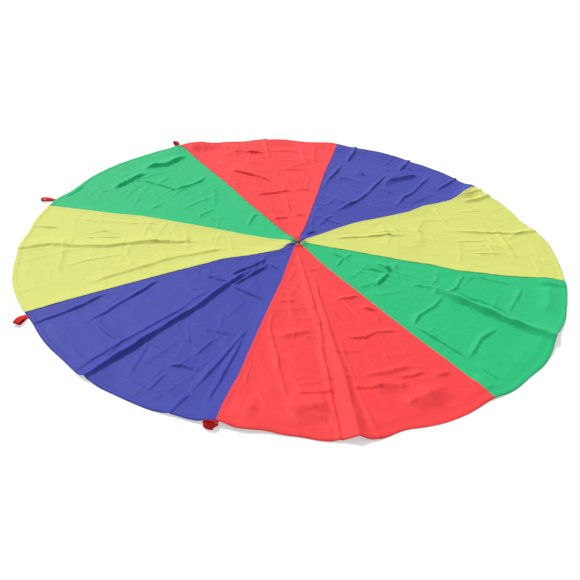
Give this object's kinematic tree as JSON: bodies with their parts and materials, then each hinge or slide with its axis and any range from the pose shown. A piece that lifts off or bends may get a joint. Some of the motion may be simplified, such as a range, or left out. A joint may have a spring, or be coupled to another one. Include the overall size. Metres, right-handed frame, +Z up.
{
  "type": "play parachute",
  "caption": "Round play parachute of wedge-shaped cloth panels in red, blue, yellow and green, sewn round a small vent, with webbing loop handles at the rim, lying open.",
  "frame": {"origin": "centre of the canopy, on the floor that it lies on", "axes": "+Z up, +X along the seam between the right-hand yellow and green panels, +Y away from the viewer of the picture"},
  "size_m": [2.0792, 2.0792, 0.0277],
  "materials": {
    "yellow_cloth": "thin woven polyester, slight sheen",
    "blue_cloth": "thin woven polyester, slight sheen",
    "red_cloth": "thin woven polyester, slight sheen",
    "green_cloth": "thin woven polyester, slight sheen",
    "red_webbing": "flat woven webbing, matt"
  },
  "bodies": {
    "back_half": {"panel_yellow_right": "yellow_cloth", "panel_blue_back": "blue_cloth", "panel_red_back": "red_cloth", "panel_green_left": "green_cloth", "handle_back_right_tail": "red_webbing", "handle_back_tail": "red_webbing", "handle_back_left_tail": "red_webbing", "handle_left_tail": "red_webbing"},
    "front_half": {"panel_yellow_left": "yellow_cloth", "panel_blue_front": "blue_cloth", "panel_red_front": "red_cloth", "panel_green_right": "green_cloth", "handle_right_tail": "red_webbing", "handle_front_left_tail": "red_webbing", "handle_front_tail": "red_webbing", "handle_front_right_tail": "red_webbing"},
    "handle_right": {"handle_right_loop": "red_webbing"},
    "handle_back_right": {"handle_back_right_loop": "red_webbing"},
    "handle_back": {"handle_back_loop": "red_webbing"},
    "handle_back_left": {"handle_back_left_loop": "red_webbing"},
    "handle_left": {"handle_left_loop": "red_webbing"},
    "handle_front_left": {"handle_front_left_loop": "red_webbing"},
    "handle_front": {"handle_front_loop": "red_webbing"},
    "handle_front_right": {"handle_front_right_loop": "red_webbing"}
  },
  "joints": [
    {"name": "canopy_fold", "type": "hinge", "parent": "back_half", "child": "front_half", "pos_m": [0, 0, 0.0054], "axis": [-1, 0, 0], "range_deg": [0, 150]},
    {"name": "handle_right_swing", "type": "hinge", "parent": "front_half", "child": "handle_right", "pos_m": [1.00576, -0.02213, 0.0012], "axis": [-0.022, -0.9998, 0], "range_deg": [0, 180]},
    {"name": "handle_back_right_swing", "type": "hinge", "parent": "back_half", "child": "handle_back_right", "pos_m": [0.69553, 0.72683, 0.0012], "axis": [0.7225, -0.6914, 0], "range_deg": [0, 180]},
    {"name": "handle_back_swing", "type": "hinge", "parent": "back_half", "child": "handle_back", "pos_m": [0.02213, 1.00576, 0.0012], "axis": [0.9998, -0.022, 0], "range_deg": [0, 180]},
    {"name": "handle_back_left_swing", "type": "hinge", "parent": "back_half", "child": "handle_back_left", "pos_m": [-0.71983, 0.70276, 0.0012], "axis": [0.6986, 0.7155, 0], "range_deg": [-90, 90]},
    {"name": "handle_left_swing", "type": "hinge", "parent": "back_half", "child": "handle_left", "pos_m": [-1.00593, 0.01207, 0.0012], "axis": [0.012, 0.9999, 0], "range_deg": [-90, 90]},
    {"name": "handle_front_left_swing", "type": "hinge", "parent": "front_half", "child": "handle_front_left", "pos_m": [-0.70276, -0.71983, 0.0012], "axis": [-0.7155, 0.6986, 0], "range_deg": [-90, 90]},
    {"name": "handle_front_swing", "type": "hinge", "parent": "front_half", "child": "handle_front", "pos_m": [-0.01207, -1.00593, 0.0012], "axis": [-0.9999, 0.012, 0], "range_deg": [-90, 90]},
    {"name": "handle_front_right_swing", "type": "hinge", "parent": "front_half", "child": "handle_front_right", "pos_m": [0.72683, -0.69553, 0.0012], "axis": [-0.6914, -0.7225, 0], "range_deg": [0, 180]}
  ]
}
